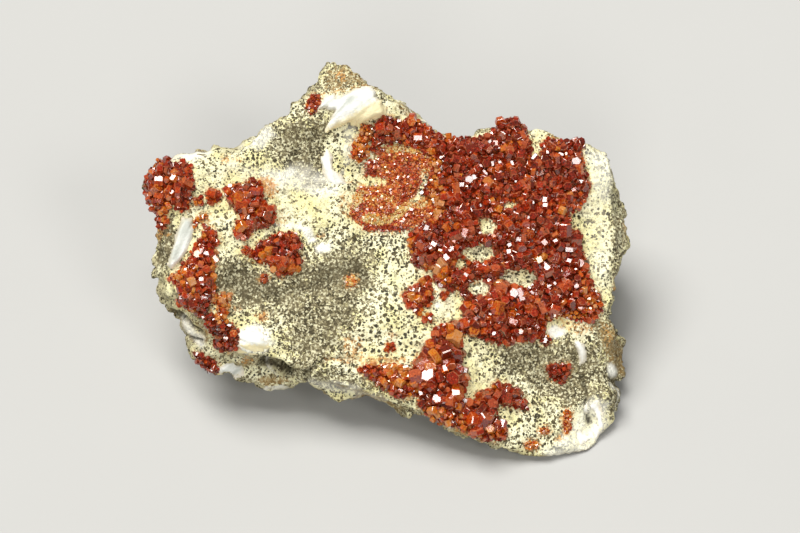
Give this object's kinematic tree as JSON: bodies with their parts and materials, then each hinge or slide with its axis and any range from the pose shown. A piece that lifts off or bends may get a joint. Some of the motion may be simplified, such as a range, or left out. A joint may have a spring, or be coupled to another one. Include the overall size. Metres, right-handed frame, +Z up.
{
  "type": "vanadinite on matrix mineral specimen",
  "caption": "Broken block of speckled cream rock with red six-sided vanadinite crystals and white barite blades on its leaning face.",
  "frame": {"origin": "on the flat resting face under the block, below the middle of its length", "axes": "+X along the block's longest side, to the right as its crystal face is looked at; +Z up out of the table; the leaning crystal face looks towards -Y and up"},
  "size_m": [0.092, 0.0652, 0.0445],
  "materials": {
    "speckled_rock": "matte, cream with dark grains and grey-brown zones",
    "vanadinite": "glossy, deep red with orange light through it",
    "amber_vanadinite": "sugary sparkle, orange",
    "barite": "satin, white and fibrous"
  },
  "bodies": {
    "root": {"matrix": "speckled_rock", "vanadinite_field": "vanadinite", "vanadinite_pocket_crust": "amber_vanadinite", "vanadinite_left_corner": "vanadinite", "vanadinite_rosette_upper_left": "vanadinite", "vanadinite_rosette_mid_left": "vanadinite", "vanadinite_band_left": "vanadinite", "vanadinite_patch_wall_left": "vanadinite", "vanadinite_island": "vanadinite", "vanadinite_band_lower": "vanadinite", "vanadinite_button_right": "vanadinite", "vanadinite_tuft_peak": "vanadinite", "amber_crystals_centre": "amber_vanadinite", "barite_blade_peak": "barite", "barite_blade_middle": "barite", "barite_blade_left": "barite", "barite_patch_lower_left": "barite", "barite_sliver_right": "barite", "barite_crust_corner": "barite", "barite_lump_lower_left": "barite"}
  },
  "joints": []
}
